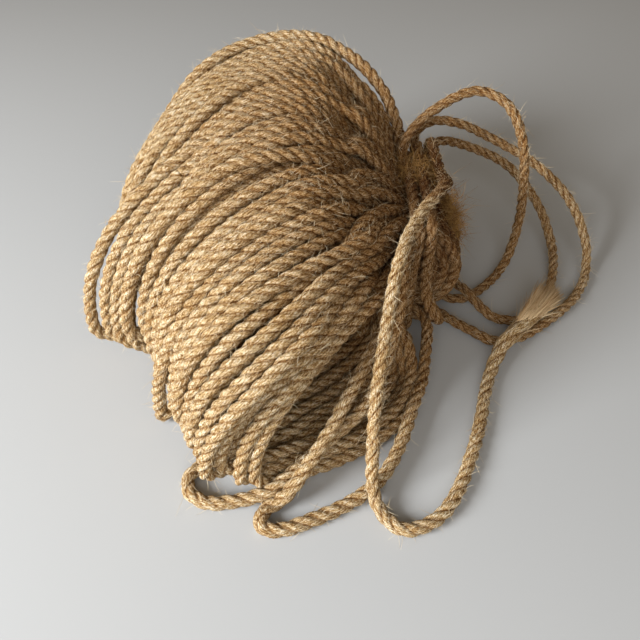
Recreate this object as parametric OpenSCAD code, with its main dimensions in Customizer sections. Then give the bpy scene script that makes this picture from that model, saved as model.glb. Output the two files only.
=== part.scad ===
// A hank of climbing rope: turns drawn in at a wrapped waist, three slack
// side loops and a loose end that comes forward round the pile.
// Millimetres, +Z up. Ground at z = 0, middle of the footprint at the origin.
// Every node is one solid.

/* [Rope] */
// Diameter of the rope
rope_d = 6; // [4:0.5:6]
// Height of the rope's centre above the ground where the hank rests on it
rest_h = 2; // [1.6:0.1:2.4]

/* [Hank] */
// Height of the turns at the back
back_h = 112; // [104:1:118]
// Height the crown is drawn towards
crown_h = 122; // [112:1:126]
// Height of the turns at the front
front_h = 58; // [52:1:64]
// Height of the outermost point of the middle turns
rim_h = 44; // [38:1:48]
// Distance between columns of turns at the waist
column_step = 9; // [9:0.2:10]
// Distance between rows of turns at the waist
row_step = 11.5; // [11:0.5:12]
// Length of the straight run through the waist
waist_run = 14; // [14:1:18]
// Height of the lowest turns where they pass the waist
waist_base = 9.6; // [9:0.1:11]

/* [Waist wraps] */
// Distance from the outer turns to the wraps
wrap_off = 6.8; // [6.5:0.1:7.5]
// Distance between one wrap and the next
wrap_step = 7; // [6.5:0.1:7]

/* [Frayed tip] */
// Length of the frayed tip
tip_len = 14; // [10:1:20]
// Radius across the loose strands at the very end
tip_spread = 5; // [4:0.5:7]

/* [Hidden] */

rope_r = rope_d / 2;
columns = 8;
rows = 3;
turns = columns * rows;
middle_row = (rows - 1) / 2;

// The waist: its middle on the ground, the way the turns leave it, and square to that
waist = [27, 33];
waist_angle = 192;
out_dir = [cos(waist_angle), sin(waist_angle)];
side_dir = [-sin(waist_angle), cos(waist_angle)];

// Back, middle and front of the pull on the upper runs, the rim and the lower runs
upper_pull = [[-47, 198], [-42, -12], [-29, -116]];
rim = [[-138, 52], [-134, -28], [-58, -113]];
lower_pull = [[-54, 120], [-29, -20], [21, -102]];
crest_h = [back_h, crown_h, front_h];
bulge_h = [36, rim_h, 8];
crest_at = [0.36, 0.59, 0.3];

// How far the runs fan out as they leave the waist, and how strongly
upper_fan = [-57, 55];
upper_reach = 300;
lower_fan = [-42, 48];
lower_reach = 400;

// Rows lie this far apart once they have left the waist, over this share of the run
fan_gap = 8.8;
fan_share = 0.1;
// A turn has its own height, not its column's, once it is this share further apart
own_share = 0.3;
// The lower runs come down to the ground over this share of theirs
descent_share = 0.25;
// Shares of a run where it has a point: up to the crest, and back to the waist
upper_shares = [0.2, 0.45, 0.7, 1];
lower_shares = [0.76, 0.54, 0.36, 0.21, 0.1];

// How far the bends on the short side of the waist stand out: the shortest ones, and the
// rest by the rows that they climb, with a little more where they change column
bend_least = 2.8;
bend_from = 4.3;
bend_per_row = 4.9;
bend_aside = 0.5;

function bezier(p, t) = (1 - t) ^ 2 * p[0] + 2 * t * (1 - t) * p[1] + t ^ 2 * p[2];
function clip(x) = min(max(x, 0), 1);
function smooth(x) = clip(x) ^ 2 * (3 - 2 * clip(x));
function unit(v) = v / norm(v);
function at_z(p, z) = [p[0], p[1], z];

// Turns go column by column, up the rows of one and down those of the next
function column(k) = floor(k / rows);
function row(k) = column(k) % 2 == 0 ? k % rows : rows - 1 - k % rows;
function share(k) = k / (turns - 1);
function upper_h(i) = waist_base + (rows + i) * row_step;
function lower_h(i) = waist_base + (rows - 1 - i) * row_step;

// A place on the ground from the waist: u the way the turns leave, v across it
function place(u, v) = waist + u * out_dir + v * side_dir;
function across(c) = (c - (columns - 1) / 2) * column_step;
function left_end(c) = place(waist_run / 2, across(c));
function right_end(c) = place(-waist_run / 2, across(c));
function fan(range, c) =
    let (a = waist_angle + range[0] + (range[1] - range[0]) * c / (columns - 1))
    [cos(a), sin(a)];

// Plan of a run at s, from 0 at the waist to 1 at the rim
function run_plan(s, t, c, pull, range, reach) =
    let (from = left_end(c), k = bezier(pull, t))
    (1 - s) ^ 2 * from + 2 * s * (1 - s) * k + s ^ 2 * bezier(rim, t)
    + s * (1 - s) ^ 8 * (reach * fan(range, c) - 2 * (k - from));
function upper_plan(s, t, c) = run_plan(s, t, c, upper_pull, upper_fan, upper_reach);
function lower_plan(s, t, c) = run_plan(s, t, c, lower_pull, lower_fan, lower_reach);

function upper_rise(s, t) =
    let (h = bezier(crest_h, t), b = bezier(bulge_h, t), m = bezier(crest_at, t),
         base = upper_h(middle_row))
    s < m ? base + (h - base) * (1 - (1 - s / m) ^ 2)
          : b + (h - b) * sqrt(max(0, 1 - ((s - m) / (1 - m)) ^ 2));
function lower_rise(s) = rest_h + (waist_base - rest_h) * (1 - smooth(s / descent_share));

// Height between the rows of a column, which closes as they open out sideways
function opened(along, beside) =
    abs(beside[0] * along[1] - beside[1] * along[0]) / norm(along) / 2;
function wanted(s) = fan_gap + (row_step - fan_gap) * max(0, 1 - s / fan_share);
function row_gap(s, open, slope) =
    sqrt(max(wanted(s) ^ 2 - open ^ 2, 0)) * sqrt(1 + min(slope ^ 2, 4));

function upper_point(s, k) =
    let (c = column(k), t = share(k), tc = share(c * rows + middle_row), e = share(1),
         along = upper_plan(s + 0.01, t, c) - upper_plan(s, t, c),
         open = opened(along, upper_plan(s, t + e, c) - upper_plan(s, t - e, c)),
         slope = (upper_rise(s + 0.01, tc) - upper_rise(s, tc)) / norm(along),
         own = smooth((open / wanted(s) - 1) / own_share))
    at_z(upper_plan(s, t, c),
         (1 - own) * upper_rise(s, tc) + own * upper_rise(s, t)
         + (row(k) - middle_row) * row_gap(s, open, slope));
function lower_point(s, k) =
    let (c = column(k), t = share(k), e = share(1),
         along = lower_plan(s + 0.01, t, c) - lower_plan(s, t, c),
         open = opened(along, lower_plan(s, t + e, c) - lower_plan(s, t - e, c)),
         slope = (lower_rise(s + 0.01) - lower_rise(s)) / norm(along))
    at_z(lower_plan(s, t, c),
         lower_rise(s) + (rows - 1 - row(k)) * row_gap(s, open, slope));

// The rounded rim of a turn, over the top half and under the lower one
function rim_top(k) =
    let (t = share(k), m = bezier(crest_at, t), b = bezier(bulge_h, t), h = bezier(crest_h, t))
    [for (a = [65, 42, 20, 0])
        at_z(upper_plan(m + (1 - m) * cos(a), t, column(k)), b + (h - b) * sin(a))];
function rim_start(k) =
    let (t = share(k), b = bezier(bulge_h, t))
    1 - 1.2 * b / norm(bezier(rim, t) - left_end(column(k)));
function rim_under(k) =
    let (t = share(k), b = bezier(bulge_h, t), m = rim_start(k))
    [for (a = [30, 60, 90])
        at_z(lower_plan(m + (1 - m) * cos(a), t, column(k)), b - (b - rest_h) * sin(a))];

// The bend on the short side of the waist, up to the next turn
function short_bend(k) =
    let (c = column(k), sideways = (column(k + 1) - c) * column_step,
         low = lower_h(row(k)), high = upper_h(row(k + 1)),
         steps = round((high - low) / row_step),
         out = steps == 1 ? bend_least
             : bend_from + bend_per_row * steps + (sideways > 0 ? bend_aside : 0))
    [for (a = [-54, -18, 18, 54])
        at_z(right_end(c) + side_dir * sideways * smooth((a + 90) / 180)
             - out_dir * out * cos(a),
             (low + high) / 2 + (high - low) / 2 * sin(a))];

function turn_points(k) =
    let (c = column(k), m = bezier(crest_at, share(k)), up = upper_h(row(k)),
         low = lower_h(row(k)), far = rim_start(k))
    concat(
        [at_z(right_end(c), up), at_z(left_end(c), up)],
        [for (s = upper_shares) upper_point(s * m, k)],
        rim_top(k),
        rim_under(k),
        [for (s = lower_shares) lower_point(s * far, k)],
        [at_z(left_end(c), low)],
        k < turns - 1 ? concat([at_z(right_end(c), low)], short_bend(k))
                      : [at_z(place(0, across(c)), low)]);
hank_path = [for (k = [0 : turns - 1]) each turn_points(k)];

// The wraps: up the front of the waist, over, down the back, under and up again.
// They leave the last turn in a curl, given from the middle of that turn's waist.
curl = [[0, 0, 0], [-7, 0, 0], [-11.5, 2, 0.4], [-13.5, 6.5, 2], [-13, 11, 6],
        [-10, 13.5, 11.5], [-6.5, 12.5, 18.5], [-4.2, 9, 26]];
half_w = across(columns - 1);
top_z = upper_h(rows - 1);
end_z = lower_h(row(turns - 1));
lane = wrap_step / 2;
top_third = half_w / 3;
side_z = [for (i = [2, 1]) waist_base + (top_z - waist_base) * i / 3];
function wrap_spot(u, v, z) = at_z(place(u, v), z);
function wrap_corner(c, h, a0, lanes) =
    [for (i = [0 : 3])
        wrap_spot(lanes[0] + (lanes[1] - lanes[0]) * i / 3,
                  c * half_w + wrap_off * cos(a0 + 30 * i),
                  h + (sin(a0 + 30 * i) < 0 ? waist_base - rest_h : wrap_off)
                      * sin(a0 + 30 * i))];
function over_top(u) =
    concat(wrap_corner(1, top_z, 0, [u, u]),
           [for (v = [top_third, -top_third]) wrap_spot(u, v, top_z + wrap_off)]);
wrap_path = concat(
    [for (q = curl) wrap_spot(q[0], half_w + q[1], end_z + q[2])],
    over_top(-lane),
    wrap_corner(-1, top_z, 90, [-lane, -lane]),
    [for (z = side_z) wrap_spot(-lane, -half_w - wrap_off, z)],
    wrap_corner(-1, waist_base, 180, [-lane, -lane]),
    [for (i = [1, 2]) wrap_spot(-lane + wrap_step * i / 3, top_third * (2 * i - 3), rest_h)],
    wrap_corner(1, waist_base, 270, [lane, lane]),
    [for (i = [1, 0]) wrap_spot(lane, half_w + wrap_off, side_z[i])],
    over_top(lane));
wrap_end = wrap_path[len(wrap_path) - 1];

// Free stretches, one after another along the rope. Each loop goes back under the
// waist, then the rope climbs behind it to the next loop. The last one crosses the top.
loop_1_path = concat([wrap_end],
    [[19.5, 52, 77], [24, 62, 84], [38, 72, 92.5], [60, 79, 99], [77, 74.5, 93], [87, 67, 75],
     [92, 63, 50], [94, 61, 25], [91, 55, 8], [82, 41, 3], [68, 26, 3], [58, 19.6, 3],
     [49, 20.5, 3], [43.6, 28, 3], [43, 42, 3]]);
loop_2_path =
    [[43, 42, 3], [43, 62, 3], [43, 75, 5.5], [42.5, 82.5, 15], [40, 83.5, 34], [37.5, 84, 47],
     [39.5, 90, 56.5], [48, 98, 58.5], [70, 105, 50], [93, 101, 40], [111, 84, 24], [119, 62, 7],
     [114, 38, 3], [103, 16, 3], [88, 2, 3], [73, 3.5, 3], [64.5, 9.5, 7.5], [59, 18, 9.8],
     [54.5, 26, 8.6], [50.5, 36, 4], [50, 48, 3]];
loop_3_path =
    [[50, 48, 3], [50, 71, 3], [49.5, 82.5, 7], [47, 89.5, 18], [41.5, 91.5, 36],
     [34.5, 93, 52], [32.5, 96.5, 65], [42, 99, 71], [58, 100, 69], [80, 102, 58],
     [106, 89, 48], [126, 73, 33], [136, 56, 14], [134, 40, 3], [122, 20, 3], [103, 2, 3],
     [84, -11, 3], [70, -14, 3], [57, -5, 3], [46, 5, 3], [38.5, 14, 3], [36, 26, 3],
     [36, 40, 3]];
end_path =
    [[36, 40, 3], [36, 58, 3], [36, 71, 4.5], [36.5, 76, 14], [38, 76.5, 33], [38, 76.5, 50],
     [37, 76, 62], [36.8, 72.5, 71], [36.7, 65, 76], [38.5, 36, 74], [38.8, 24, 78],
     [36.5, 15.5, 81.2], [28.5, 3, 81.5], [20, -13, 82], [12, -32, 80], [6.5, -50, 70],
     [2.5, -68, 55], [-0.5, -83, 39], [-1.5, -96, 21], [-1, -107, 7], [3.5, -116.5, 3],
     [11, -122, 3], [22, -119.5, 3], [33, -109.5, 3], [49, -77.4, 3], [61, -42, 3.5],
     [68, -27.5, 6.5], [74.5, -18.5, 9.4], [100.6, 7.2, 9.6]];
tip_from = end_path[len(end_path) - 1];
tip_dir = unit(tip_from - end_path[len(end_path) - 2]);

// A ring of the tube: one side stays level, and keeps to the side it was on before
function heading(p, i) =
    let (n = len(p))
    i == 0 ? unit(p[1] - p[0])
    : i == n - 1 ? unit(p[n - 1] - p[n - 2])
    : unit(unit(p[i + 1] - p[i]) + unit(p[i] - p[i - 1]));
function level(h, before) =
    let (c = cross(h, [0, 0, 1]), f = norm(c) < 0.05 ? before - (before * h) * h : c)
    unit(f) * (f * before < 0 ? -1 : 1);
function levels(p) =
    [for (i = 0, b = level(heading(p, 0), cross(heading(p, 0), [0, 0, 1])); i < len(p);
          i = i + 1, b = i < len(p) ? level(heading(p, i), b) : b) b];
function ring(centre, h, b, radius, sides, floor_z) =
    let (w = cross(b, h))
    [for (j = [0 : sides - 1])
        let (a = 360 * (j + (sides == free_sides ? 0.5 : 0)) / sides,
             q = centre + radius * (cos(a) * b + sin(a) * w))
        [q[0], q[1], max(q[2], floor_z)]];

// Sides of the wound tubes and of the free ones
wound_sides = 6;
free_sides = 8;

module tube(p, sides, radii) {
    b = levels(p);
    n = len(p);
    polyhedron(
        points = concat(
            [for (i = [0 : n - 1])
                each ring(p[i], heading(p, i), b[i], radii[i], sides, 0)],
            [p[0], p[n - 1]]),
        faces = concat(
            [for (i = [0 : n - 2], j = [0 : sides - 1])
                let (a = i * sides + j, c = i * sides + (j + 1) % sides)
                each [[a, c, a + sides], [c, c + sides, a + sides]]],
            [for (j = [0 : sides - 1]) [(j + 1) % sides, j, n * sides]],
            [for (j = [0 : sides - 1])
                [(n - 1) * sides + j, (n - 1) * sides + (j + 1) % sides, n * sides + 1]]),
        convexity = 10);
}

function same(p, r) = [for (q = p) r];

// Least gap of a wound tube to itself, between runs that are at least this many apart
gap_skip = 6;
probe_step = 1.5;
function gap_of(p, skip) =
    let (m = len(p) - 1,
         mid = [for (i = [0 : m - 1]) (p[i] + p[i + 1]) / 2],
         half = [for (i = [0 : m - 1]) norm(p[i + 1] - p[i]) / 2],
         near = [for (i = [0 : m - 1])
             for (j = [i + skip : 1 : m - 1])
                 if (norm(mid[i] - mid[j]) < half[i] + half[j] + rope_d + 1) [i, j]])
    min([for (e = near) spot_gap(p[e[0]], p[e[0] + 1], p[e[1]], p[e[1] + 1])]) - rope_d;
function spot_gap(a, b, c, d) =
    let (n = ceil(norm(b - a) / probe_step))
    min([for (i = [0 : n]) to_line(a + (b - a) * i / n, c, d)]);
function to_line(q, c, d) =
    norm(q - c - (d - c) * clip((q - c) * (d - c) / ((d - c) * (d - c))));

module hank_turns() {
    echo(least_gap_of_hank_turns = gap_of(hank_path, gap_skip));
    color("tan")
        tube(hank_path, wound_sides, same(hank_path, rope_r));
}

module waist_wraps() {
    echo(least_gap_of_waist_wraps = gap_of(wrap_path, gap_skip));
    color("tan")
        tube(wrap_path, wound_sides, same(wrap_path, rope_r));
}

module side_loop_1() {
    color("burlywood")
        tube(loop_1_path, free_sides, same(loop_1_path, rope_r));
}

module side_loop_2() {
    color("burlywood")
        tube(loop_2_path, free_sides, same(loop_2_path, rope_r));
}

module side_loop_3() {
    color("burlywood")
        tube(loop_3_path, free_sides, same(loop_3_path, rope_r));
}

module working_end() {
    color("wheat")
        tube(end_path, free_sides, same(end_path, rope_r));
}

// The strands open out towards the tip
module frayed_tip() {
    path = [for (s = [0, 0.25, 0.6, 1]) tip_from + s * tip_len * tip_dir];
    color("moccasin")
        tube(path, free_sides, [rope_r, rope_r * 0.9, (rope_r + tip_spread) / 2, tip_spread]);
}

hank_turns();
waist_wraps();
side_loop_1();
side_loop_2();
side_loop_3();
working_end();
frayed_tip();
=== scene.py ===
import math

import bpy
import numpy as np
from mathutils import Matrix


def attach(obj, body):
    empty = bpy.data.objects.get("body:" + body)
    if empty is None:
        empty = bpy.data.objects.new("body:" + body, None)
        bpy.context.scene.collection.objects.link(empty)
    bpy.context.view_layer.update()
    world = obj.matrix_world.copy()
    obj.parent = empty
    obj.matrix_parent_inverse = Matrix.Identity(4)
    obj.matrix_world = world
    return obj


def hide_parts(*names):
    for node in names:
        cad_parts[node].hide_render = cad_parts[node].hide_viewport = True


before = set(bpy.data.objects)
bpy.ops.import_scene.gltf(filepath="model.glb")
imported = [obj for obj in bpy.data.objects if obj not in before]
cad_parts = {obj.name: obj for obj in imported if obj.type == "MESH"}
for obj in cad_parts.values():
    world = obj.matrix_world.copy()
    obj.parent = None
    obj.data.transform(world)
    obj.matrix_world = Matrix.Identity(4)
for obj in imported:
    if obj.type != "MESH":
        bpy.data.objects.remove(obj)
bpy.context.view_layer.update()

# ---------------------------------------------------------------------------
# Sizes. Routes and the rope's maths are in millimetres, meshes in metres.
# ---------------------------------------------------------------------------
MM = 0.001
ROPE_D = 6.0
ROPE_R = ROPE_D / 2
LAY = 19.5            # one turn of the three strands round each other
RING = 1.3            # distance between rings of the finished rope
GRAIN = 3.0           # distance between points of the rope's line while it settles

# The picture is 640 px square and shows 642 px for each unit of distance at depth 1
PICTURE = 640
FOCAL = 642
SENSOR = 36.0
CAMERA_AT = (-0.024, -0.250, 0.255)
CAMERA_PITCH = math.radians(45)

# The hank, made as in the solids but with 55 turns. At the waist they lie in a grid
COLUMNS = 11
ROWS = 5
TURNS = COLUMNS * ROWS
MIDDLE_ROW = (ROWS - 1) / 2
COLUMN_STEP = 6.3
ROW_STEP = 6.38
WAIST_BASE = 9.6      # height of the lowest row
WAIST_RUN = 14.0      # length over which the turns run side by side
REST_H = 3.0          # height of a rope's middle where it lies on the table
WRAP_OFF = 6.8        # the wraps' distance from the outermost turns
WRAP_STEP = 7.0       # and from each other

# Middle of the waist on the ground, and the way the turns leave it
WAIST = np.array([25.5, 33.0])
WAIST_ANGLE = math.radians(180)
OUT = np.array([math.cos(WAIST_ANGLE), math.sin(WAIST_ANGLE)])
SIDE = np.array([-OUT[1], OUT[0]])

# Keys of the heap's form, evenly spaced from its back to its front: where the runs over the
# heap and under it are pulled to, the rim, the highest point's height, the height at which the
# rim bulges out most, and the share of a run at which it is highest
UPPER_PULL = np.array([[-47, 198], [-44, 111], [-41, 34], [-37, -35], [-31, -88], [-3, -80]], float)
RIM = np.array([[-131, 51], [-126, 17], [-112, -19], [-93, -54], [-76, -92], [-45, -104]], float)
LOWER_PULL = np.array([[-54, 120], [-40, 66], [-30, 16], [-18, -20], [22, -55], [67, -78]], float)
CREST_H = np.array([108.0, 108.5, 105.0, 94.0, 75.0, 56.0])
BULGE_H = np.array([36.0, 38.0, 34.0, 28.0, 19.0, 8.0])
CREST_AT = np.array([0.36, 0.43, 0.47, 0.46, 0.40, 0.30])
# How far the runs fan out as they leave the waist, how strongly, and the power with which that
# fades along the run
UPPER_FAN = np.radians([-51, 67])
LOWER_FAN = np.radians([-30, 60])
UPPER_REACH = 300.0
LOWER_REACH = 400.0
FAN_FADES = 8
# The columns open into two layers from this share of a run, over this much of it, and the run
# underneath is down on the table at this share
OPENS_FROM = 0.06
OPENS_IN = 0.26
DOWN_AT = 0.25
FAN_GAP = 5.7         # distance between neighbours away from the waist
# How much closer together the turns are than evenly: in the middle, and towards the front
CROWDING = 0.15
FRONT_LEAN = 0.12

# How unevenly the turns lie: slow waves that neighbours share, and each turn's own part
LONG_WAVE = (1.9, 4.1)    # turns to a radian, and radians along a run
SHORT_WAVE = (1.1, 7.3)
DRIFT_REACH = 2.5
DRIFT_ASIDE = 1.8
DRIFT_UP = 1.4
OWN_REACH = 1.2
OWN_ASIDE = 1.6

# The bends on the short side of the waist start here along it. One that climbs one row stands
# out least, the others by the rows that they climb, up to the furthest
SHORT_END = 2.5
BEND_LEAST = 2.8
BEND_PER_ROW = 2.6
BEND_OUT = 20.5

# Turns whose bights stick out of the rim: how far, and how high their outermost point is.
# The turns around them stay back.
BIGHTS = {18: (28, 16), 20: (21, 17), 22: (17, 18), 24: (12, 18), 37: (8, 4)}
HELD_BACK = range(10, 27)
HELD_BY = 8.0

# Turns that lie across their neighbours, how far they stray, and how far they lie outside them
STRAYS = {12: 6.0, 29: -5.0, 36: 4.0, 48: 3.0}
STRAY_LIFT = 3.5

# Turns that keep to themselves, from the waist and back to it: the first one at the back,
# and the last two, whose bights lie on the table in front
BY_HAND = {
    0: [(20.5, 61, 52), (20.5, 61, 66), (18, 72, 82), (8, 92, 97), (-10, 110, 106),
        (-35, 119, 111), (-63, 117, 108), (-89, 104, 97), (-111, 86, 78), (-125, 69, 55),
        (-131, 58, 36), (-128, 54, 16), (-118, 54, 6), (-108, 57, 3), (-84, 66, 3), (-56, 72, 3),
        (-30, 74, 4), (-8, 70, 18), (6, 64, 28)],
    53: [(14, -14, 60), (9, -40, 52), (-6, -66, 38), (-22, -90, 22), (-38, -108, 9),
         (-44, -110, 4), (-49, -115, 3), (-48, -121, 3), (-39.5, -122, 3), (-28.5, -118, 3),
         (-18, -113.5, 3), (-7, -107, 3), (3, -98, 3), (12, -83, 5), (20, -59, 8), (28, -33, 11),
         (30, -10, 16)],
    54: [(16, -20, 66), (10, -48, 52), (-3, -73, 26), (-19.5, -84.6, 16), (-37, -96.2, 9),
         (-58.6, -106.5, 4), (-73, -109, 3), (-82, -104, 3), (-82.5, -96, 3), (-76, -90, 3),
         (-66, -87, 3), (-48, -82, 3), (-20, -72, 3), (8, -48, 3), (24, -18, 6)]}

# Free stretches, one after another along the rope, as in the solids
LOOP_1 = [[19.5, 52, 77], [24, 62, 84], [38, 72, 92.5], [60, 79, 99], [77, 74.5, 93], [87, 67, 75],
          [92, 63, 50], [94, 61, 25], [91, 55, 8], [82, 41, 3], [68, 26, 3], [58, 19.6, 3],
          [49, 20.5, 3], [43.6, 28, 3], [43, 42, 3]]
LOOP_2 = [[43, 62, 3], [43, 75, 5.5], [42.5, 82.5, 15], [40, 83.5, 34], [37.5, 84, 47],
          [39.5, 90, 56.5], [48, 98, 58.5], [70, 105, 50], [93, 101, 40], [111, 84, 24], [119, 62, 7],
          [114, 38, 3], [103, 16, 3], [88, 2, 3], [73, 3.5, 3], [64.5, 9.5, 7.5], [59, 18, 9.8],
          [54.5, 26, 8.6], [50.5, 36, 4], [50, 48, 3]]
LOOP_3 = [[50, 71, 3], [49.5, 82.5, 7], [47, 89.5, 18], [41.5, 91.5, 36],
          [34.5, 93, 52], [32.5, 96.5, 65], [42, 99, 71], [58, 100, 69], [80, 102, 58],
          [106, 89, 48], [126, 73, 33], [136, 56, 14], [134, 40, 3], [122, 20, 3], [103, 2, 3],
          [84, -11, 3], [70, -14, 3], [57, -5, 3], [46, 5, 3], [38.5, 14, 3], [36, 26, 3],
          [36, 40, 3]]
LOOSE = [[36, 58, 3], [36, 71, 4.5], [36.5, 76, 14], [38, 76.5, 33], [38, 76.5, 50],
         [37, 76, 62], [36.8, 72.5, 71], [36.7, 65, 76], [38.5, 36, 74], [38.8, 24, 78],
         [36.5, 15.5, 81.2], [28.5, 3, 81.5], [20, -13, 82], [12, -32, 80], [6.5, -50, 70],
         [2.5, -68, 55], [-0.5, -83, 39], [-1.5, -96, 21], [-1, -107, 7], [3.5, -116.5, 3],
         [11, -122, 3], [22, -119.5, 3], [33, -109.5, 3], [49, -77.4, 3], [61, -42, 3.5],
         [68, -27.5, 6.5], [74.5, -18.5, 9.4], [100.6, 7.2, 9.6]]

rng = np.random.default_rng(7)


# ---------------------------------------------------------------------------
# The hank's form
# ---------------------------------------------------------------------------
def keyed(keys, t):
    """A smooth curve through evenly spaced keys (a Catmull-Rom spline)."""
    last = len(keys) - 1
    x = min(max(t, 0.0), 1.0) * last
    i = min(int(x), last - 1)
    x -= i
    leave = (keys[i + 1] - keys[i - 1]) / 2 if i > 0 else keys[1] - keys[0]
    arrive = (keys[i + 2] - keys[i]) / 2 if i + 2 <= last else keys[last] - keys[last - 1]
    return ((1 + 2 * x) * (1 - x) ** 2 * keys[i] + x * (1 - x) ** 2 * leave
            + x * x * (3 - 2 * x) * keys[i + 1] + x * x * (x - 1) * arrive)


def smooth(x):
    """From 0 to 1 without a corner."""
    x = min(max(x, 0.0), 1.0)
    return x * x * (3 - 2 * x)


def unit(v):
    """The same way at length 1."""
    return v / np.linalg.norm(v, axis=-1, keepdims=True)


def column(k):
    """Column of the waist's grid that a turn passes in."""
    return k // ROWS


def row(k):
    """Its row, counted up one column and down the next."""
    return k % ROWS if column(k) % 2 == 0 else ROWS - 1 - k % ROWS


def upper_h(i):
    """Height at the waist of the run over the heap, from the turn's row."""
    return WAIST_BASE + (ROWS + i) * ROW_STEP


def lower_h(i):
    """Height at the waist of the run underneath, where the rows are in the opposite order."""
    return WAIST_BASE + (ROWS - 1 - i) * ROW_STEP


def place(u, v):
    """A point of the ground: u from the waist's middle along the turns, and v across them."""
    return WAIST + u * OUT + v * SIDE


def across(c):
    """Distance of a column across from the waist's middle."""
    return (c - (COLUMNS - 1) / 2) * COLUMN_STEP


def run_plan(s, t, c, pull, fan, reach):
    """A run from the waist, at share s of its way, to the rim at place t, seen from above."""
    start = place(WAIST_RUN / 2, across(c))
    k = keyed(pull, t)
    a = WAIST_ANGLE + fan[0] + (fan[1] - fan[0]) * c / (COLUMNS - 1)
    leave = reach * np.array([math.cos(a), math.sin(a)]) - 2 * (k - start)
    curved = (1 - s) ** 2 * start + 2 * s * (1 - s) * k + s * s * keyed(RIM, t)
    return curved + s * (1 - s) ** FAN_FADES * leave


def upper_plan(s, t, c):
    """The run over the heap, seen from above."""
    return run_plan(s, t, c, UPPER_PULL, UPPER_FAN, UPPER_REACH)


def lower_plan(s, t, c):
    """The run underneath, seen from above."""
    return run_plan(s, t, c, LOWER_PULL, LOWER_FAN, LOWER_REACH)


def upper_rise(s, t):
    """Height of the run over the heap: up to its crest, and down to where the rim bulges most."""
    h, b, m = keyed(CREST_H, t), keyed(BULGE_H, t), keyed(CREST_AT, t)
    base = upper_h(MIDDLE_ROW)
    if s < m:
        return base + (h - base) * (1 - (1 - s / m) ** 2)
    return b + (h - b) * math.sqrt(max(0.0, 1 - ((s - m) / (1 - m)) ** 2))


def lower_rise(s):
    """Height of the run underneath."""
    return REST_H + (WAIST_BASE - REST_H) * (1 - smooth(s / DOWN_AT))


def even_shares():
    """Places of the turns from back to front, at which they lie almost evenly beside each other."""
    t = np.linspace(0, 1, 241)
    width = np.zeros(len(t))
    for s in (0.45, 0.6, 0.75):
        c = t * (COLUMNS - 1)
        p = np.array([[*upper_plan(s, a, b), upper_rise(s, a)] for a, b in zip(t, c)])
        q = np.array([[*upper_plan(s + 0.01, a, b), upper_rise(s + 0.01, a)] for a, b in zip(t, c)])
        step, along_run = np.gradient(p, axis=0), unit(q - p)
        width += np.linalg.norm(np.cross(step, along_run), axis=1)
    total = np.r_[0, np.cumsum((width[1:] + width[:-1]) / 2)]
    x = np.arange(TURNS) / (TURNS - 1)
    crowded = CROWDING * np.sin(2 * math.pi * x) / (2 * math.pi)
    return np.interp((x + FRONT_LEAN * x * (1 - x) + crowded) * total[-1], total, t)


SHARES = even_shares()


def opened(s):
    """From 0, in columns at the waist, to 1, spread evenly in two layers."""
    return smooth((s - OPENS_FROM) / OPENS_IN)


def lane(k, s):
    """Column that a turn runs in, which spreads out away from the waist."""
    return column(k) * (1 - opened(s)) + (k - MIDDLE_ROW) / ROWS * opened(s)


def row_gap(plan, rise, s, k):
    """Height between neighbours that leaves them a rope apart."""
    on = plan(s + 0.01, SHARES[k], lane(k, s)) - plan(s, SHARES[k], lane(k, s))
    up, down = min(k + 1, TURNS - 1), max(k - 1, 0)
    shift = opened(s) / ROWS
    beside = plan(s, SHARES[up], lane(k, s) + shift) - plan(s, SHARES[down], lane(k, s) - shift)
    apart = abs(beside[0] * on[1] - beside[1] * on[0]) / np.linalg.norm(on) / (up - down)
    wanted = FAN_GAP + (ROW_STEP - FAN_GAP) * max(0.0, 1 - s / 0.1)
    slope = (rise(s + 0.01) - rise(s)) / np.linalg.norm(on)
    return math.sqrt(max(wanted ** 2 - apart ** 2, 0)) * math.sqrt(1 + min(slope ** 2, 4))


WAVES = rng.uniform(0, 2 * math.pi, (3, 4))


def drift(kind, k, s):
    """Slow waves that neighbouring turns share, from about -1 to 1."""
    a = WAVES[kind]
    long_wave = math.sin(k / LONG_WAVE[0] + a[0]) * math.sin(LONG_WAVE[1] * s + a[1])
    short_wave = math.sin(k / SHORT_WAVE[0] + a[2]) * math.sin(SHORT_WAVE[1] * s + a[3])
    return (long_wave + 0.5 * short_wave) / 1.5


def skin(s, k, more=0):
    """A point of the heap's skin on the run of a turn, or of one next to it."""
    near = min(max(k + more, 0), TURNS - 1)
    c = lane(k, s) + opened(s) * (near - k) / ROWS
    return np.array([*upper_plan(s, SHARES[near], c), upper_rise(s, SHARES[near])])


def layered(s, k, layer):
    """How far a turn of the inner or the outer layer stands off the skin."""
    on = unit(skin(min(s + 0.01, 1), k) - skin(s - 0.01, k))
    beside = skin(s, k, 1) - skin(s, k, -1)
    apart = np.linalg.norm(np.cross(beside, on)) / (2 if 0 < k < TURNS - 1 else 1)
    normal = unit(np.cross(on, beside))
    off = layer * opened(s) * math.sqrt(max(FAN_GAP ** 2 - apart ** 2, 0))
    if k in STRAYS:
        off = max(off, 0) + STRAY_LIFT * smooth((s - 0.3) / 0.2)
    return normal * off


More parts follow.
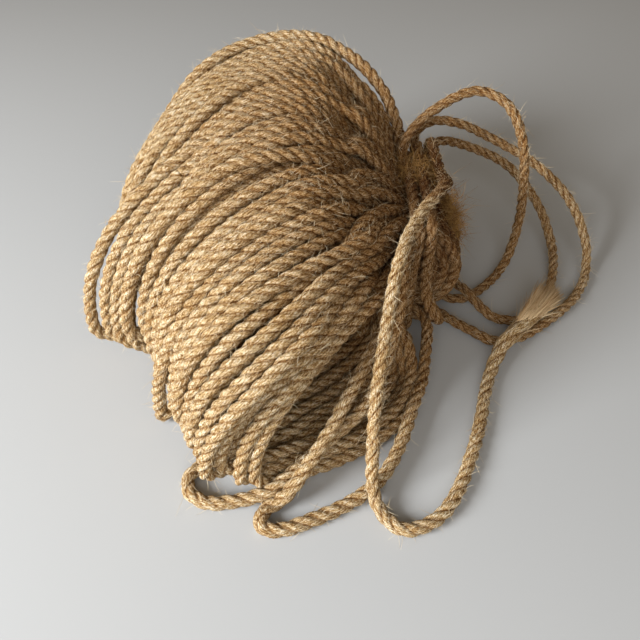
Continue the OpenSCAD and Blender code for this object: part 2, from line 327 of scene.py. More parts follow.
def run_points(k, reach, sideways, b):
    """The turn's way over the heap, round the rim and back underneath."""
    c, i, t = column(k), row(k), SHARES[k]
    tc = SHARES[c * ROWS + int(MIDDLE_ROW)]
    m, h = keyed(CREST_AT, t), keyed(CREST_H, t)
    layer = k % 2 - 0.5

    def shifted(p, s):
        away = unit(p - WAIST)
        beside = np.array([-away[1], away[0]])
        aside = DRIFT_ASIDE * drift(1, k, s) * smooth(s / 0.4) + sideways * smooth((s - 0.25) / 0.5)
        aside += STRAYS.get(k, 0) * smooth((s - 0.35) / 0.45)
        return p + away * reach * smooth((s - 0.55) / 0.45) + beside * aside

    pts = []
    for s in np.array([0.15, 0.3, 0.5, 0.75, 1.0]) * m:
        gap = row_gap(upper_plan, lambda x: upper_rise(x, t), s, k)
        z = (1 - opened(s)) * upper_rise(s, tc) + opened(s) * upper_rise(s, t)
        z += gap * (1 - opened(s)) * (i - MIDDLE_ROW) + DRIFT_UP * drift(2, k, s) * smooth(s / m)
        pts.append(np.array([*shifted(upper_plan(s, t, lane(k, s)), s), z]) + layered(s, k, layer))
    for a in np.radians([72, 54, 36, 18, 0]):
        s = m + (1 - m) * math.cos(a)
        p = [*shifted(upper_plan(s, t, lane(k, s)), s), b + (h - b) * math.sin(a)]
        pts.append(np.array(p) + layered(s, k, layer))
    out = np.linalg.norm(layered(1, k, 1))
    far = 1 - 1.2 * b / np.linalg.norm(keyed(RIM, t) - place(WAIST_RUN / 2, across(c)))
    for a in np.radians([25, 50, 70, 90]):
        s = far + (1 - far) * math.cos(a)
        p = shifted(lower_plan(s, t, lane(k, s)), s)
        p = p + unit(p - WAIST) * out * layer * math.cos(a)
        pts.append((*p, b - (b - REST_H) * math.sin(a) + (layer + 0.5) * out * math.sin(a)))
    for s in np.array([0.85, 0.7, 0.55, 0.4, 0.28, 0.18, 0.09]) * far:
        gap = row_gap(lower_plan, lower_rise, s, k)
        z = lower_rise(s) + gap * ((1 - opened(s)) * (ROWS - 1 - i) + opened(s) * (layer + 0.5))
        pts.append((*lower_plan(s, t, lane(k, s)), z))
    return pts


def turn_points(k):
    """One turn of the hank, from the short side of the waist round the far rim and back."""
    c, i = column(k), row(k)
    b = keyed(BULGE_H, SHARES[k])
    reach = rng.normal() * OWN_REACH + DRIFT_REACH * drift(0, k, 0.4)
    sideways = rng.normal() * OWN_ASIDE
    if k in BIGHTS:
        reach, b = BIGHTS[k]
    elif k in HELD_BACK:
        reach -= HELD_BY
    if k in STRAYS:
        reach += STRAY_LIFT
    pts = [(*place(SHORT_END, across(c)), upper_h(i))]
    if k in BY_HAND:
        pts += BY_HAND[k]
    else:
        pts += [(*place(WAIST_RUN / 2, across(c)), upper_h(i))] + run_points(k, reach, sideways, b)
    low = lower_h(i)
    pts += [(*place(u, across(c)), low) for u in (WAIST_RUN / 2, SHORT_END)]
    if k < TURNS - 1:
        step = (column(k + 1) - c) * COLUMN_STEP
        high = upper_h(row(k + 1))
        climbed = round((high - low) / ROW_STEP)
        out = BEND_LEAST if climbed == 1 else min(BEND_PER_ROW * climbed, BEND_OUT)
        for a in np.radians([-60, -30, 0, 30, 60]):
            p = place(SHORT_END, across(c)) + SIDE * step * smooth((a + math.pi / 2) / math.pi)
            p = p - OUT * out * math.cos(a)
            pts.append((*p, (low + high) / 2 + (high - low) / 2 * math.sin(a)))
    return np.array(pts)


def wrap_points():
    """Two turns round the waist, which leave the last turn of the hank in a curl."""
    half, top = across(COLUMNS - 1), upper_h(ROWS - 1)
    end = lower_h(row(TURNS - 1))
    near = WRAP_STEP / 2

    def spot(u, v, z):
        return (*place(u, v), z)

    def corner(side, h, a0, u):
        turned = np.radians(a0 + 30 * np.arange(4))
        drop = [WAIST_BASE - REST_H if math.sin(a) < -0.01 else WRAP_OFF for a in turned]
        return [spot(u, side * half + WRAP_OFF * math.cos(a), h + d * math.sin(a))
                for a, d in zip(turned, drop)]

    def over(u):
        return corner(1, top, 0, u) + [spot(u, v, top + WRAP_OFF) for v in (10.5, -10.5)]

    pts = [spot(-11.5, half + 2, end + 0.4), spot(-13.5, half + 6.5, end + 2),
           spot(-13, half + 11, end + 6), spot(-10, half + 13.5, end + 11.5),
           spot(-6.5, half + 12.5, end + 18.5), spot(-4.2, half + 9, end + 26)]
    pts += over(-near) + corner(-1, top, 90, -near)
    pts += [spot(-near, -half - WRAP_OFF, z) for z in (48, 29)]
    pts += corner(-1, WAIST_BASE, 180, -near)
    pts += [spot(-near + WRAP_STEP * n / 3, 21 * (n - 1.5), REST_H) for n in (1, 2)]
    pts += corner(1, WAIST_BASE, 270, near)
    pts += [spot(near, half + WRAP_OFF, z) for z in (29, 48)]
    pts += over(near)
    return np.array(pts)


# ---------------------------------------------------------------------------
# The rope's line
# ---------------------------------------------------------------------------
def along(p):
    """Distance of each point along the line."""
    return np.r_[0, np.cumsum(np.linalg.norm(np.diff(p, axis=0), axis=1))]


def curve(p, step):
    """A smooth curve through the points, evenly spaced, and how far along it each point is."""
    chord = np.linalg.norm(np.diff(p, axis=0), axis=1)
    t = np.r_[0, np.cumsum(chord ** 0.5)]
    m = np.gradient(p, t, axis=0)
    fine, at = [], []
    for k in range(len(p) - 1):
        n = max(2, int(np.ceil(chord[k] / 0.8)))
        x = np.linspace(0, 1, n, endpoint=False)[:, None]
        h = t[k + 1] - t[k]
        at.append(sum(map(len, fine[-1:])) + (at[-1] if at else 0))
        fine.append((1 + 2 * x) * (1 - x) ** 2 * p[k] + x * (1 - x) ** 2 * h * m[k]
                    + x * x * (3 - 2 * x) * p[k + 1] + x * x * (x - 1) * h * m[k + 1])
    fine = np.vstack(fine + [p[-1:]])
    s = along(fine)
    even = np.linspace(0, s[-1], max(2, int(round(s[-1] / step)) + 1))
    return np.stack([np.interp(even, s, fine[:, j]) for j in range(3)], 1), s[at]


def near_pairs(p, reach):
    """Pairs of points closer than reach, from a grid of cells."""
    cell = np.floor(p / reach).astype(np.int64)
    cell -= cell.min(0) - 1
    size = cell.max(0) + 2
    key = (cell[:, 0] * size[1] + cell[:, 1]) * size[2] + cell[:, 2]
    order = np.argsort(key, kind="stable")
    ordered = key[order]
    found = []
    for dx in (-1, 0, 1):
        for dy in (-1, 0, 1):
            for dz in (-1, 0, 1):
                shift = (dx * size[1] + dy) * size[2] + dz
                if shift < 0:
                    continue
                lo = np.searchsorted(ordered, key + shift, "left")
                n = np.searchsorted(ordered, key + shift, "right") - lo
                a = np.repeat(np.arange(len(p)), n)
                b = order[np.repeat(lo - np.r_[0, np.cumsum(n)[:-1]], n) + np.arange(n.sum())]
                close = ((p[a] - p[b]) ** 2).sum(1) < reach * reach
                close &= (a < b) | (shift > 0)
                found.append(np.stack([a[close], b[close]], 1))
    return np.vstack(found)


def gathered(index, value, size):
    """Sum of the values that fall on each point."""
    return np.stack([np.bincount(index, value[:, j], size) for j in range(3)], 1)


# How the rope settles: the rounds, and how closely it presses against itself
ROUNDS = 420
PRESSED_D = ROPE_D * 0.94
# How firmly the hank and the free stretches are held in their places
HOLD_HANK = 0.004
HOLD_FREE = 0.03
# Rounds between two searches for close points, and how much further than a diameter they reach
SEARCH_EVERY = 6
SEARCH_MARGIN = 3.0
# Points nearer than this along the rope, in diameters, don't push each other
OWN_BEND = 2.2
# Shares of the faults in bend, length and distance that a round takes away
MEND_BEND = 0.35
MEND_LENGTH = 0.45
MEND_DISTANCE = 1.4
KEEP_BEND = 0.98


def settle(p, home, rounds, diameter):
    """Pushes the rope's points apart where it passes through itself, keeping its lengths and bends."""
    n = len(p)
    start = p.copy()
    rest = np.linalg.norm(np.diff(p, axis=0), axis=1)
    bend = p[:-2] + p[2:] - 2 * p[1:-1]
    skip = int(round(OWN_BEND * diameter / GRAIN))
    for r in range(rounds):
        if r % SEARCH_EVERY == 0:
            pairs = near_pairs(p, diameter + SEARCH_MARGIN)
            pairs = pairs[np.abs(pairs[:, 0] - pairs[:, 1]) > skip]
        p = p + (start - p) * home[:, None]
        want = p[:-2] + p[2:] - bend * KEEP_BEND
        p[1:-1] += MEND_BEND * (want / 2 - p[1:-1])
        d = np.diff(p, axis=0)
        fix = d * (MEND_LENGTH * (1 - rest / np.linalg.norm(d, axis=1)))[:, None]
        p[:-1] += fix
        p[1:] -= fix
        d = p[pairs[:, 0]] - p[pairs[:, 1]]
        length = np.linalg.norm(d, axis=1) + 1e-9
        hit = length < diameter
        a, b = pairs[hit, 0], pairs[hit, 1]
        push = d[hit] * (0.5 * (diameter / length[hit] - 1))[:, None]
        touching = np.bincount(a, minlength=n) + np.bincount(b, minlength=n)
        pushed = gathered(a, push, n) - gathered(b, push, n)
        p += pushed / np.maximum(touching, 1)[:, None] * MEND_DISTANCE
        p[:, 2] = np.maximum(p[:, 2], ROPE_R)
    depth = diameter - np.linalg.norm(p[pairs[:, 0]] - p[pairs[:, 1]], axis=1)
    print("settled", n, "points, deepest", round(float(depth.max()), 2), "mm, over 0.5 mm:",
          int((depth > 0.5).sum()))
    return p


def whole_rope():
    """The rope's line before it settles, and where along it each part starts."""
    parts = {"hank_turns": np.vstack([turn_points(k) for k in range(TURNS)]),
             "waist_wraps": wrap_points(), "side_loop_1": LOOP_1, "side_loop_2": LOOP_2,
             "side_loop_3": LOOP_3, "working_end": LOOSE}
    p, at = curve(np.vstack([np.array(q, float) for q in parts.values()]), GRAIN)
    first = np.cumsum([0] + [len(q) for q in parts.values()])[:-1]
    # a stretch starts at the last point of the one before, as its solid does
    first[2:] -= 1
    return p, dict(zip(parts, np.round(at[first] / GRAIN).astype(int)))


line, marks = whole_rope()
home = np.full(len(line), HOLD_HANK)
home[marks["waist_wraps"]:] = HOLD_FREE
line = settle(line, home, ROUNDS, PRESSED_D)


# ---------------------------------------------------------------------------
# Meshes
# ---------------------------------------------------------------------------
# The strands' middles and radius, as shares of the rope's radius
STRANDS = 3
PER_STRAND = 6
STRAND_AT = 0.38
STRAND_R = 0.62
# Slow changes in thickness: the distance between them and their amount, and the thickest
STRAND_CHANGE = (14, 0.035)
ROPE_CHANGE = (40, 0.02)
THICKEST = 1.06
# Painted shade: the rope's colour is darkest on the tie, where shade falls among the wraps, and a
# little darker around it
TIE_AT = np.array([34, 32, 58])
TIE_SIZE = np.array([34, 50, 50])
AROUND_TIE = 92.0
SHADE_AROUND_SHARE = 0.6
# The painted shade by the tie leaves the working end as it is below this y, and is in full from this
# far above
END_UNSHADED_BELOW = -2
END_SHADED_OVER = 8


def outline():
    """Radius of the laid rope's outline as a share of its own, from groove to groove."""
    a = np.radians(-60 + 120 * np.arange(PER_STRAND) / PER_STRAND)
    r = STRAND_AT * np.cos(a) + np.sqrt(STRAND_R ** 2 - (STRAND_AT * np.sin(a)) ** 2)
    return np.tile(r, STRANDS)


SECTION = outline()
SIDES = len(SECTION)


def frames(p):
    """Directions square to the line, carried along it without twist."""
    t = unit(np.gradient(p, axis=0))
    n = np.empty_like(t)
    v = np.cross(t[0], (0.0, 0.0, 1.0))
    for k in range(len(t)):
        v = v - t[k] * (v @ t[k])
        v = v / math.sqrt(v @ v)
        n[k] = v
    return t, n, np.cross(t, n)


def uneven(s, step, amount):
    """Slow random changes along the rope."""
    knots = np.arange(s[0] - step, s[-1] + 2 * step, step)
    return np.interp(s, knots, rng.normal(size=len(knots)) * amount)


def new_object(name, verts, faces, material):
    me = bpy.data.meshes.new(name)
    me.from_pydata(verts.tolist(), [], faces)
    me.polygons.foreach_set("use_smooth", np.ones(len(me.polygons), bool))
    me.materials.append(material)
    ob = bpy.data.objects.new(name, me)
    bpy.context.scene.collection.objects.link(ob)
    return ob


def add_attribute(me, name, kind, values):
    at = me.attributes.new(name, kind, "POINT")
    field = "vector" if kind == "FLOAT_VECTOR" else "value"
    at.data.foreach_set(field, values.astype(np.float32).ravel())


def add_map(me, places):
    """A map of the mesh's surface, named OFBake."""
    uv = me.uv_layers.new(name="OFBake")
    uv.uv.foreach_set("vector", places.astype(np.float32).ravel())


def tie_shade_share(p):
    """How much painted shade points get by the tie, from 0 to 1."""
    on_it = np.exp(-(((p - TIE_AT) / TIE_SIZE) ** 2).sum(1) ** 1.5)
    around = np.exp(-(((p - TIE_AT) / AROUND_TIE) ** 2).sum(1))
    return np.maximum(on_it, SHADE_AROUND_SHARE * around)


def rope_mesh(name, piece, material):
    """A stretch of the finished rope: three strands laid round each other, closed at both ends."""
    p, n, b, s = fine[piece], n_fine[piece], b_fine[piece], s_fine[piece]
    rings = len(p)
    base = np.arange(SIDES) * 2 * math.pi / SIDES
    ang = base[None, :] + twist[piece][:, None]
    strand_by_strand = np.stack([uneven(s, *STRAND_CHANGE) for _ in range(STRANDS)], 1)
    thick = strand_by_strand + uneven(s, *ROPE_CHANGE)[:, None]
    r = ROPE_R * SECTION[None, :] * np.minimum(1 + np.repeat(thick, PER_STRAND, 1), THICKEST)
    r = r * wide[piece][:, None]
    x, y = r * np.cos(ang), r * np.sin(ang)
    co = p[:, None, :] + x[..., None] * n[:, None, :] + y[..., None] * b[:, None, :]
    co = np.vstack([co.reshape(-1, 3), p[0], p[-1]])
    co[:, 2] = np.maximum(co[:, 2], 0)
    i, j = np.meshgrid(np.arange(rings - 1), np.arange(SIDES), indexing="ij")
    k = (j + 1) % SIDES
    quads = np.stack([i * SIDES + j, i * SIDES + k, (i + 1) * SIDES + k, (i + 1) * SIDES + j], -1)
    j, k = np.arange(SIDES), (np.arange(SIDES) + 1) % SIDES
    first, last, top = rings * SIDES, rings * SIDES + 1, (rings - 1) * SIDES
    caps = [(int(b), int(a), first) for a, b in zip(j, k)]
    caps += [(int(top + a), int(top + b), last) for a, b in zip(j, k)]
    ob = new_object(name, co * MM, quads.reshape(-1, 4).tolist() + caps, material)
    me = ob.data
    ends = [[s[0], 0, 0], [s[-1], 0, 0]]
    flat = np.repeat(s, SIDES)
    across_it = np.stack([flat, x.ravel(), y.ravel()], 1)
    add_attribute(me, "fibre", "FLOAT_VECTOR", np.vstack([across_it, ends]))
    turned = np.stack([flat, (r * np.cos(base)).ravel(), (r * np.sin(base)).ravel()], 1)
    add_attribute(me, "strand", "FLOAT_VECTOR", np.vstack([turned, ends]))
    # how far out on its strand each point lies; the material paints shade into the grooves from it
    crown = (SECTION - SECTION.min()) / (SECTION.max() - SECTION.min())
    add_attribute(me, "crown", "FLOAT", np.r_[np.tile(crown, rings), 0.5, 0.5])
    # painted shade by the tie, stored for the material; on the working end it fades in between y = -2
    # and 6 mm
    dark = tie_shade_share(co)
    if material is end_mat:
        dark *= np.clip((co[:, 1] - END_UNSHADED_BELOW) / END_SHADED_OVER, 0, 1)
    add_attribute(me, "tie", "FLOAT", dark)
    # the map: the rope in rows beside each other, as many as keep its proportions, and its two
    # caps above the first of them
    rows = max(1, int(math.ceil(math.sqrt((s[-1] - s[0]) / (2 * math.pi * ROPE_R)))))
    per_row = int(math.ceil((rings - 1) / rows))
    i, j = np.meshgrid(np.arange(rings - 1), np.arange(SIDES), indexing="ij")
    u = np.stack([i % per_row, i % per_row, i % per_row + 1, i % per_row + 1], -1) / per_row
    v = (np.stack([j, j + 1, j + 1, j], -1) / SIDES * 0.9 + 0.03 + (i // per_row)[..., None]) / rows
    cap = np.tile(np.array([[0.0, 0.94], [0.002, 0.94], [0.001, 0.96]]) / [1, rows], (2 * SIDES, 1))
    add_map(me, np.vstack([np.stack([u.ravel() * 0.996 + 0.002, v.ravel()], 1), cap]))
    return ob


HAIR_RINGS = 4
HAIR_SIDES = 3
HAIR_TAPER = 0.75


def hair_mesh(name, root, direction, bend, length, radius, tone, material):
    """Thin closed hairs, each leaving its root in one direction and bending towards another."""
    n = len(root)
    s = np.linspace(0, 1, HAIR_RINGS)
    path = direction[:, None] * s[None, :, None] + bend[:, None] * (s ** 2)[None, :, None]
    path = root[:, None] + path * length[:, None, None]
    t = unit(direction[:, None] + 2 * bend[:, None] * s[None, :, None])
    side = unit(np.cross(t, unit(rng.normal(size=(n, 3)))[:, None]))
    up = np.cross(t, side)
    a = np.arange(HAIR_SIDES) * 2 * math.pi / HAIR_SIDES
    r = (radius[:, None] * (1 - HAIR_TAPER * s ** 1.5))[:, :, None, None]
    off = np.cos(a)[:, None] * side[:, :, None] + np.sin(a)[:, None] * up[:, :, None]
    co = path[:, :, None] + r * off
    co[..., 2] = np.maximum(co[..., 2], 0)
    per = HAIR_RINGS * HAIR_SIDES
    i, j = np.meshgrid(np.arange(HAIR_RINGS - 1), np.arange(HAIR_SIDES), indexing="ij")
    k = (j + 1) % HAIR_SIDES
    low, high = i * HAIR_SIDES, (i + 1) * HAIR_SIDES
    quad = np.stack([low + j, low + k, high + k, high + j], -1).reshape(-1, 4)
    start = (np.arange(n) * per)[:, None, None]
    quads = (start + quad[None]).reshape(-1, 4)
    ends = (start + np.array([[2, 1, 0], [per - 3, per - 2, per - 1]])[None]).reshape(-1, 3)
    ob = new_object(name, co.reshape(-1, 3) * MM, quads.tolist() + ends.tolist(), material)
    add_attribute(ob.data, "tone", "FLOAT", np.repeat(tone, per))
    # the map: a square for each hair, with its two ends above its sides
    grid = int(math.ceil(math.sqrt(n)))
    corner = np.stack([np.arange(n) % grid, np.arange(n) // grid], 1)[:, None, None]
    u = np.stack([j, j + 1, j + 1, j], -1).reshape(-1, 4) / HAIR_SIDES
    v = np.stack([i, i, i + 1, i + 1], -1).reshape(-1, 4) / (HAIR_RINGS - 1)
    body = np.stack([0.08 + 0.8 * u, 0.08 + 0.7 * v], -1)[None]
    cap = np.array([[[0.1, 0.84], [0.4, 0.84], [0.25, 0.94]],
                    [[0.5, 0.84], [0.8, 0.84], [0.65, 0.94]]])[None]
    add_map(ob.data, np.vstack([((corner + part) / grid).reshape(-1, 2) for part in (body, cap)]))
    return ob


# ---------------------------------------------------------------------------
# Materials
# ---------------------------------------------------------------------------
WHITE = (1.0, 1.0, 1.0)


class Nodes:
    """Short names for a material's nodes."""

    def __init__(self, name, roughness, specular):
        self.material = bpy.data.materials.new(name)
        self.material.use_nodes = True
        self.tree = self.material.node_tree
        self.shader = self.tree.nodes["Principled BSDF"]
        self.shader.inputs["Roughness"].default_value = roughness
        self.shader.inputs["Specular IOR Level"].default_value = specular

    def link(self, a, b):
        self.tree.links.new(a, b)

    def attribute(self, name, output):
        node = self.tree.nodes.new("ShaderNodeAttribute")
        node.attribute_name = name
        return node.outputs[output]

    def noise(self, vector, stretch, scale, detail, roughness=0.5):
        spread_out = self.tree.nodes.new("ShaderNodeMapping")
        spread_out.inputs["Scale"].default_value = stretch
        self.link(vector, spread_out.inputs["Vector"])
        node = self.tree.nodes.new("ShaderNodeTexNoise")
        node.inputs["Scale"].default_value = scale
        node.inputs["Detail"].default_value = detail
        node.inputs["Roughness"].default_value = roughness
        self.link(spread_out.outputs[0], node.inputs["Vector"])
        return node.outputs["Fac"]

    def ramp(self, value, stops):
        node = self.tree.nodes.new("ShaderNodeValToRGB")
        elements = node.color_ramp.elements
        while len(elements) < len(stops):
            elements.new(0.5)
        for element, (position, colour) in zip(elements, stops):
            element.position = position
            element.color = (*colour, 1)
        self.link(value, node.inputs[0])
        return node.outputs[0]

    def mix(self, a, b, kind, amount):
        node = self.tree.nodes.new("ShaderNodeMix")
        node.data_type = "RGBA"
        node.blend_type = kind
        node.inputs[0].default_value = amount
        self.link(a, node.inputs[6])
        self.link(b, node.inputs[7])
        return node.outputs[2]

    def times(self, a, b):
        return self.mix(a, b, "MULTIPLY", 1.0)

    def colour(self, value):
        self.link(value, self.shader.inputs["Base Color"])

    def bump(self, height, strength, distance):
        node = self.tree.nodes.new("ShaderNodeBump")
        node.inputs["Strength"].default_value = strength
        node.inputs["Distance"].default_value = distance
        self.link(height, node.inputs["Height"])
        self.link(node.outputs[0], self.shader.inputs["Normal"])


def jute(name):
    """Laid jute: streaks along the yarns and patches of other shades, with painted shade in the
    grooves between the strands and painted shade on and around the tie.
    """
    m = Nodes(name, 0.8, 0.15)
    fibre = m.attribute("fibre", "Vector")
    strand = m.attribute("strand", "Vector")
    crown = m.attribute("crown", "Fac")
    streaks = m.noise(fibre, (0.14, 1, 1), 2.0, 5, 0.66)
    yarns = m.noise(strand, (0.12, 1, 1), 1.1, 3, 0.6)
    specks = m.noise(fibre, (0.4, 1, 1), 2.3, 3, 0.75)
    patches = m.noise(fibre, (1, 0.3, 0.3), 0.028, 2)
    tone = m.ramp(streaks, [(0.35, (0.19, 0.09, 0.025)), (0.45, (0.50, 0.315, 0.125)),
                            (0.53, (0.86, 0.685, 0.41)), (0.61, (1.0, 0.96, 0.82))])
    yarn = m.ramp(yarns, [(0.36, (0.62, 0.52, 0.40)), (0.48, (0.95, 0.93, 0.90)), (0.60, WHITE)])
    speck = m.ramp(specks, [(0.37, (0.34, 0.25, 0.17)), (0.47, (0.88, 0.84, 0.79)), (0.58, WHITE)])
    patch = m.ramp(patches, [(0.32, (0.84, 0.77, 0.66)), (0.50, (0.97, 0.96, 0.95)), (0.68, WHITE)])
    # painted shade: darker towards the grooves between the strands
    groove_shade = m.ramp(crown, [(0.0, (0.42, 0.30, 0.20)), (0.30, (0.75, 0.67, 0.57)),
                            (0.62, (0.95, 0.93, 0.90)), (1.0, WHITE)])
    # painted shade on and around the tie, from the tie attribute
    tie = m.ramp(m.attribute("tie", "Fac"), [(0.06, WHITE), (0.26, (0.70, 0.58, 0.46)),
                                             (1.0, (0.18, 0.095, 0.045))])
    colour = m.times(m.times(m.times(tone, yarn), m.times(speck, patch)), m.times(groove_shade, tie))
    m.colour(colour)
    m.bump(m.mix(streaks, specks, "ADD", 0.8), 1.0, 0.0008)
    return m.material


def hairs(name, dark, pale):
    """Loose fibres, each of its own shade between two."""
    m = Nodes(name, 0.65, 0.2)
    tone = m.attribute("tone", "Fac")
    own = m.noise(m.attribute("tone", "Vector"), (40, 40, 40), 3.0, 2)
    shade = m.ramp(own, [(0.3, (0.8, 0.77, 0.72)), (0.7, WHITE)])
    m.colour(m.times(m.ramp(tone, [(0.0, dark), (1.0, pale)]), shade))
    return m.material


rope_mat = jute("jute_rope")
end_mat = jute("jute_working_end")
hair_mat = hairs("jute_hairs", (0.50, 0.35, 0.18), (1.0, 0.88, 0.64))
tip_mat = hairs("jute_tip", (0.60, 0.38, 0.18), (1.0, 0.82, 0.54))
# the tufts' dark ochre is jute's own colour deepened with painted shade of the tie
tuft_shaded_mat = hairs("jute_tufts_shaded", (0.16, 0.075, 0.02), (0.60, 0.34, 0.11))

# ---------------------------------------------------------------------------
# Camera
# ---------------------------------------------------------------------------
cam = bpy.data.cameras.new("camera")
cam.lens = SENSOR * FOCAL / PICTURE
cam.sensor_width = SENSOR
cam_ob = bpy.data.objects.new("camera", cam)
cam_ob.location = CAMERA_AT
cam_ob.rotation_euler = (CAMERA_PITCH, 0, 0)
bpy.context.scene.collection.objects.link(cam_ob)
bpy.context.scene.camera = cam_ob


# ---------------------------------------------------------------------------
# The rope
# ---------------------------------------------------------------------------
HANK_PIECES = 5
# How wide the rope is drawn, as shares of its diameter: in the hank, whose turns press into
# each other, in the loops, and in the working end, and how long a way each change takes
HANK_WIDTH = 1.12
LOOP_WIDTH = 0.95
END_WIDTH = 1.06
NARROWS_OVER = 30
WIDENS_OVER = 150
# The lay opens this far from the end and is open after this far. Its strands then turn this
# much slower and stand this much wider, and they taper over the last bit
OPENS_AT = 72
OPENS_OVER = 52
OPEN_SLOWER = 0.8
OPEN_WIDER = 0.46
TAPER_OVER = 8
TAPER = 0.5

fine, _ = curve(line, RING)
s_fine = along(fine)
s_line = along(line)
t_fine, n_fine, b_fine = frames(fine)
starts = {name: s_line[at] for name, at in marks.items()}
hank_end = starts["waist_wraps"]

# How the strands turn round each other, and how wide the rope is
to_end = s_fine[-1] - s_fine
opening = np.clip((OPENS_AT - to_end) / OPENS_OVER, 0, 1)
opening = opening * opening * (3 - 2 * opening)
rate = (1 - OPEN_SLOWER * opening) / LAY
twist = 2 * math.pi * np.r_[0, np.cumsum(rate[1:] * np.diff(s_fine))]
wide = np.interp(s_fine, [starts["side_loop_1"], starts["side_loop_1"] + NARROWS_OVER,
                          starts["working_end"], starts["working_end"] + WIDENS_OVER],
                 [HANK_WIDTH, LOOP_WIDTH, LOOP_WIDTH, END_WIDTH])
wide *= 1 + OPEN_WIDER * opening
wide *= 1 - TAPER * np.clip((TAPER_OVER - to_end) / TAPER_OVER, 0, 1)
print("hank", round(hank_end), "mm, whole rope", round(s_fine[-1]), "mm")

# The rope's pieces: a name, the solid that it replaces, and where it starts and ends
cuts = [(f"hank_turns_{k + 1}", "hank_turns", hank_end * k / HANK_PIECES,
         hank_end * (k + 1) / HANK_PIECES) for k in range(HANK_PIECES)]
names = list(starts)[1:]
cuts += [(name + "_rope", name, starts[name], end)
         for name, end in zip(names, [starts[n] for n in names[1:]] + [s_fine[-1]])]


def joined(ob, node):
    """Rides on the part in place of a solid."""
    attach(ob, "root")
    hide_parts(node)


# The brush of fibres: how many, how far back from the rope's end their roots lie and how far
# past it they reach, the radius of their roots, and where they are rooted on the outside only
TIP_FIBRES = 2600
TIP_BACK = 27
TIP_PAST = 8
TIP_R = 4.1
TIP_OUTSIDE_R = 2.9
TIP_SOLID_BEHIND = 5
# It leans to one side, and these shares of it are stray fibres or thick bundles
TIP_LEAN = np.array([-0.09, 0.06, 0.05])
STRAY_SHARE = 0.07
STRAY_LONGEST = 15
BUNDLE_SHARE = 0.3
BUNDLE_R = 0.26
FIBRE_R = 0.10
# How much the fibres splay, the strays and the others; how much the three strands stand apart;
# how unevenly the fibres leave their roots, bend and sag; and how unevenly long they are, at
# random and round the brush
STRAY_SPLAY = (0.12, 0.35)
TIP_SPLAY = (0.0, 0.045)
STRANDS_APART = 0.04
TIP_UNEVEN = 0.04
TIP_BEND = 0.045
TIP_SAG = 0.02
TIP_LENGTHS = 2.2
TIP_ROUND = 1.2


def tip_fibres():
    """The end's opened yarns: a brush of fibres along the rope, past the end of the laid part."""
    count = TIP_FIBRES
    back = rng.uniform(0, 1, count) ** 1.2 * TIP_BACK
    at = np.searchsorted(s_fine, s_fine[-1] - back).clip(0, len(fine) - 1)
    a = rng.uniform(0, 2 * math.pi, count)
    r = TIP_R * np.sqrt(rng.uniform(0, 1, count))
    r = np.where(back > TIP_SOLID_BEHIND, np.maximum(r, TIP_OUTSIDE_R), r)
    aside = np.cos(a)[:, None] * n_fine[at] + np.sin(a)[:, None] * b_fine[at]
    root = fine[at] + aside * r[:, None]
    stray = rng.uniform(size=count) < STRAY_SHARE
    spread = np.where(stray, rng.uniform(*STRAY_SPLAY, count), rng.uniform(*TIP_SPLAY, count))
    splay = (r / ROPE_R * spread)[:, None]
    strands_apart = STRANDS_APART * np.sin(STRANDS * a + 1.0)[:, None]
    uneven_way = rng.normal(size=(count, 3)) * TIP_UNEVEN
    direction = unit(t_fine[at] + aside * (splay + strands_apart) + uneven_way + TIP_LEAN)
    bend = aside * splay * 0.3 + rng.normal(size=(count, 3)) * TIP_BEND
    bend[:, 2] -= TIP_SAG
    bundle = rng.uniform(size=count) < BUNDLE_SHARE
    length = back + TIP_PAST + rng.normal(size=count) * TIP_LENGTHS + TIP_ROUND * np.sin(2 * a)
    length = np.where(stray, np.minimum(length, STRAY_LONGEST), length)
    return hair_mesh("frayed_tip_fibres", root, direction, bend, length,
                     np.where(bundle, BUNDLE_R, FIBRE_R), rng.uniform(0, 1, count), tip_mat)


tip = tip_fibres()
joined(tip, "frayed_tip")
for name, node, begin, end in cuts:
    i0 = int(np.searchsorted(s_fine, begin))
    i1 = min(int(np.searchsorted(s_fine, end)) + 1, len(fine))
    last = node == "working_end"
    ob = rope_mesh(name, slice(i0, i1), end_mat if last else rope_mat)
    joined(ob, node)


# ---------------------------------------------------------------------------
# Loose fibres
# ---------------------------------------------------------------------------
# Looks at the rope: eight ways round at two heights, and one nearly from above
LOOKS = [(a, h) for h in (0.25, 0.9) for a in range(0, 360, 45)] + [(0, 9.0)]
LOOK_CELL = 3.0
LOOK_DEPTH = 2.0

HAIR_LENGTH = (1.2, 5.5)
HAIR_LIFT = (0.15, 1.0)
HAIR_R = 0.09
HAIR_ROOT = 0.85          # share of the rope's radius at which a hair starts
SHADE_BY_TIE = 0.7       # share of a hair's tone that the painted shade by the tie takes away
# How unevenly the hairs stand round the rope, leave their roots and bend, and the most bend
HAIR_ROUND = 0.45
HAIR_UNEVEN = 0.25
HAIR_BEND = 0.5
HAIR_BEND_MOST = 1.4
TUFT_BEND = 0.9
# How many hairs each piece has
HANK_HAIRS = 9000
LOOP_HAIRS = 4000

# Matted tufts on the tie, coloured darker than the other hairs with painted shade: the middle, the
# spread each way, the number and the lengths
TUFTS = [((43, 22, 55), (2.5, 7, 7), 2600, (2, 5)),
         ((25, 41, 73), (5, 6, 2.5), 1500, (2, 5))]


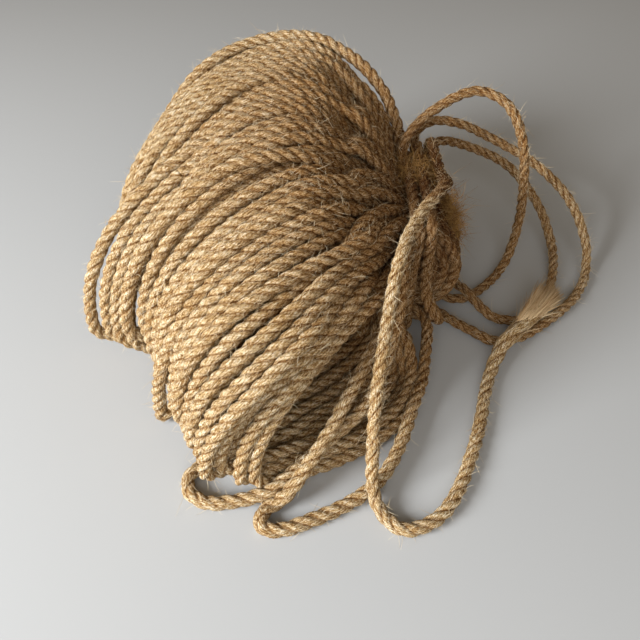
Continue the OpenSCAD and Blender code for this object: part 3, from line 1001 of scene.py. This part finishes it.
def showing(p):
    """Points of the rope that show from outside, each with the way it shows."""
    found, ways = [], []
    for azimuth, up in LOOKS:
        a = math.radians(azimuth)
        way = unit(np.array([math.cos(a), math.sin(a), up]))
        u = unit(np.cross(way, (0.3, -0.2, 1.0)))
        v = np.cross(way, u)
        i = np.floor((p @ u) / LOOK_CELL).astype(int)
        j = np.floor((p @ v) / LOOK_CELL).astype(int)
        key = (i - i.min()) * (j.max() - j.min() + 1) + j - j.min()
        depth = p @ way
        nearest = np.full(key.max() + 1, -1e9)
        np.maximum.at(nearest, key, depth)
        seen = np.flatnonzero(depth > nearest[key] - LOOK_DEPTH)
        found.append(seen)
        ways.append(np.repeat(way[None], len(seen), 0))
    return np.concatenate(found), np.vstack(ways)


def fuzz(name, chosen, ways):
    """Hairs that leave the rope's surface on the side that shows."""
    count = len(chosen)
    out = ways + rng.normal(size=(count, 3)) * HAIR_ROUND
    out = unit(out - t_fine[chosen] * (out * t_fine[chosen]).sum(1)[:, None])
    root = fine[chosen] + out * ROPE_R * HAIR_ROOT
    run = t_fine[chosen] * rng.choice([-1, 1], count)[:, None]
    rise = rng.uniform(*HAIR_LIFT, count)[:, None]
    direction = unit(run + out * rise + rng.normal(size=(count, 3)) * HAIR_UNEVEN)
    bend = rng.normal(size=(count, 3)).clip(-HAIR_BEND_MOST, HAIR_BEND_MOST) * HAIR_BEND
    shortest, longest = HAIR_LENGTH
    size = shortest + (longest - shortest) * rng.uniform(size=count) ** 2
    # hairs by the tie get painted shade
    tone = rng.uniform(size=count) * (1 - SHADE_BY_TIE * tie_shade_share(root))
    return hair_mesh(name, root, direction, bend, size, np.full(count, HAIR_R), tone, hair_mat)


def tuft(centre, spread_out, count, length):
    """Matted fibres round a place on the tie."""
    root = np.array(centre) + rng.normal(size=(count, 3)) * spread_out
    direction = unit(rng.normal(size=(count, 3)))
    bend = rng.normal(size=(count, 3)) * TUFT_BEND
    return root, direction, bend, rng.uniform(*length, count)


hank_last = int(np.searchsorted(s_fine, starts["side_loop_1"]))
found, ways = showing(fine)
on_hank = found < hank_last
for name, node, mask, count in (("hank_hairs_1", "hank_turns", on_hank, HANK_HAIRS),
                                ("hank_hairs_2", "hank_turns", on_hank, HANK_HAIRS),
                                ("loop_hairs", "side_loop_1", ~on_hank, LOOP_HAIRS)):
    pick = rng.integers(0, mask.sum(), count)
    joined(fuzz(name, found[mask][pick], ways[mask][pick]), node)

root, direction, bend, length = (np.concatenate(x) for x in zip(*(tuft(*t) for t in TUFTS)))
radius = np.full(len(root), FIBRE_R)
tone = rng.uniform(size=len(root))
tufts = hair_mesh("tie_tufts", root, direction, bend, length, radius, tone, tuft_shaded_mat)
joined(tufts, "waist_wraps")

# ---------------------------------------------------------------------------
# Floor and light
# ---------------------------------------------------------------------------
FLOOR_HALF = 3.0
FLOOR_GREY = (0.445, 0.455, 0.46, 1)
DAYLIGHT = (0.97, 0.985, 1.0)
ROOM_LIGHT = (1.0, 0.83, 0.63, 1)
ROOM_STRENGTH = 0.25

corners = np.array([(-1, -1, 0), (1, -1, 0), (1, 1, 0), (-1, 1, 0)]) * FLOOR_HALF
floor_mat = Nodes("floor_grey", 0.9, 0.1)
floor_mat.shader.inputs["Base Color"].default_value = FLOOR_GREY
new_object("floor", corners, [(0, 1, 2, 3)], floor_mat.material)


def lamp(name, at, aim, size, power):
    """A round lamp that points from one place at another."""
    data = bpy.data.lights.new(name, "AREA")
    data.shape = "DISK"
    data.size = size
    data.energy = power
    data.color = DAYLIGHT
    ob = bpy.data.objects.new(name, data)
    ob.location = at
    way = np.array(aim) - np.array(at)
    tilt = math.atan2(math.hypot(way[0], way[1]), -way[2])
    ob.rotation_euler = (tilt, 0, math.atan2(way[1], way[0]) - math.pi / 2)
    bpy.context.scene.collection.objects.link(ob)


lamp("window", at=(-0.90, -0.54, 0.50), aim=(-0.05, 0, 0.04), size=0.5, power=23.5)
lamp("room", at=(-0.10, -0.95, 0.50), aim=(-0.03, -0.05, 0.04), size=0.9, power=6.0)
world = bpy.data.worlds.new("room")
world.use_nodes = True
background = world.node_tree.nodes["Background"]
background.inputs["Color"].default_value = ROOM_LIGHT
background.inputs["Strength"].default_value = ROOM_STRENGTH
bpy.context.scene.world = world
bpy.context.scene.view_settings.view_transform = "Standard"
